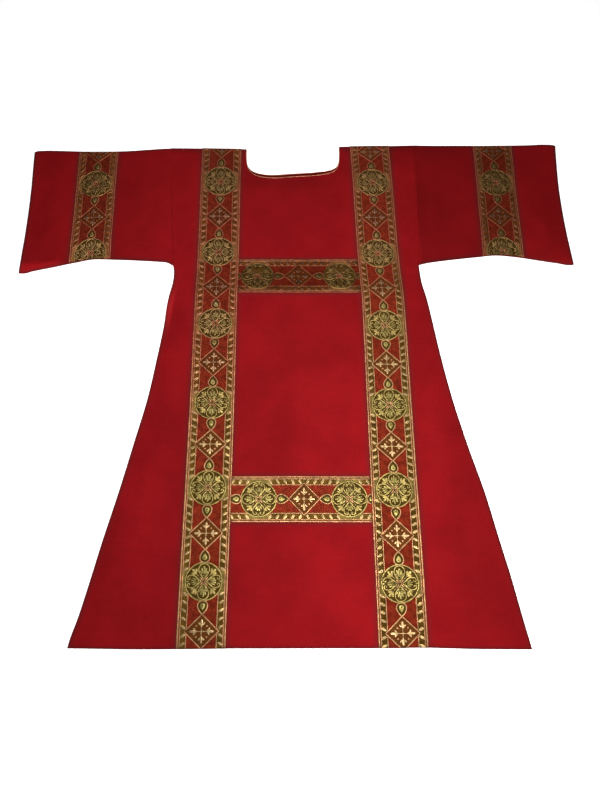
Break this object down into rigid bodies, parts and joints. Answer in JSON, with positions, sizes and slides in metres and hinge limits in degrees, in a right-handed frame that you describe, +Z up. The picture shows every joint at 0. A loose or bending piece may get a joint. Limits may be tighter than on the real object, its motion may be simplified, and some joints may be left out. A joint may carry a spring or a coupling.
{
  "type": "dalmatic laid flat",
  "caption": "Wide-sleeved liturgical tunic laid flat with its front up, with woven gold bands down the front, across it and on the sleeves.",
  "frame": {"origin": "centre of the garment's outline, on the surface that it lies on", "axes": "+X across the garment from cuff to cuff, to the right of someone who looks at the front; +Y from the hem to the neck; +Z up from the surface"},
  "size_m": [1.4371, 1.3148, 0.0134],
  "materials": {
    "red_cloth": "matt plain weave",
    "gold_galloon": "woven metal thread on red",
    "gold_piping": "twisted metal thread"
  },
  "bodies": {
    "root": {"body_front": "red_cloth", "body_back": "red_cloth", "sleeve_left": "red_cloth", "sleeve_right": "red_cloth", "clavus_left": "gold_galloon", "clavus_right": "gold_galloon", "crossbar_upper": "gold_galloon", "crossbar_lower": "gold_galloon", "sleeve_band_left": "gold_galloon", "sleeve_band_right": "gold_galloon", "neck_piping_front": "gold_piping", "neck_piping_back": "gold_piping"}
  },
  "joints": []
}
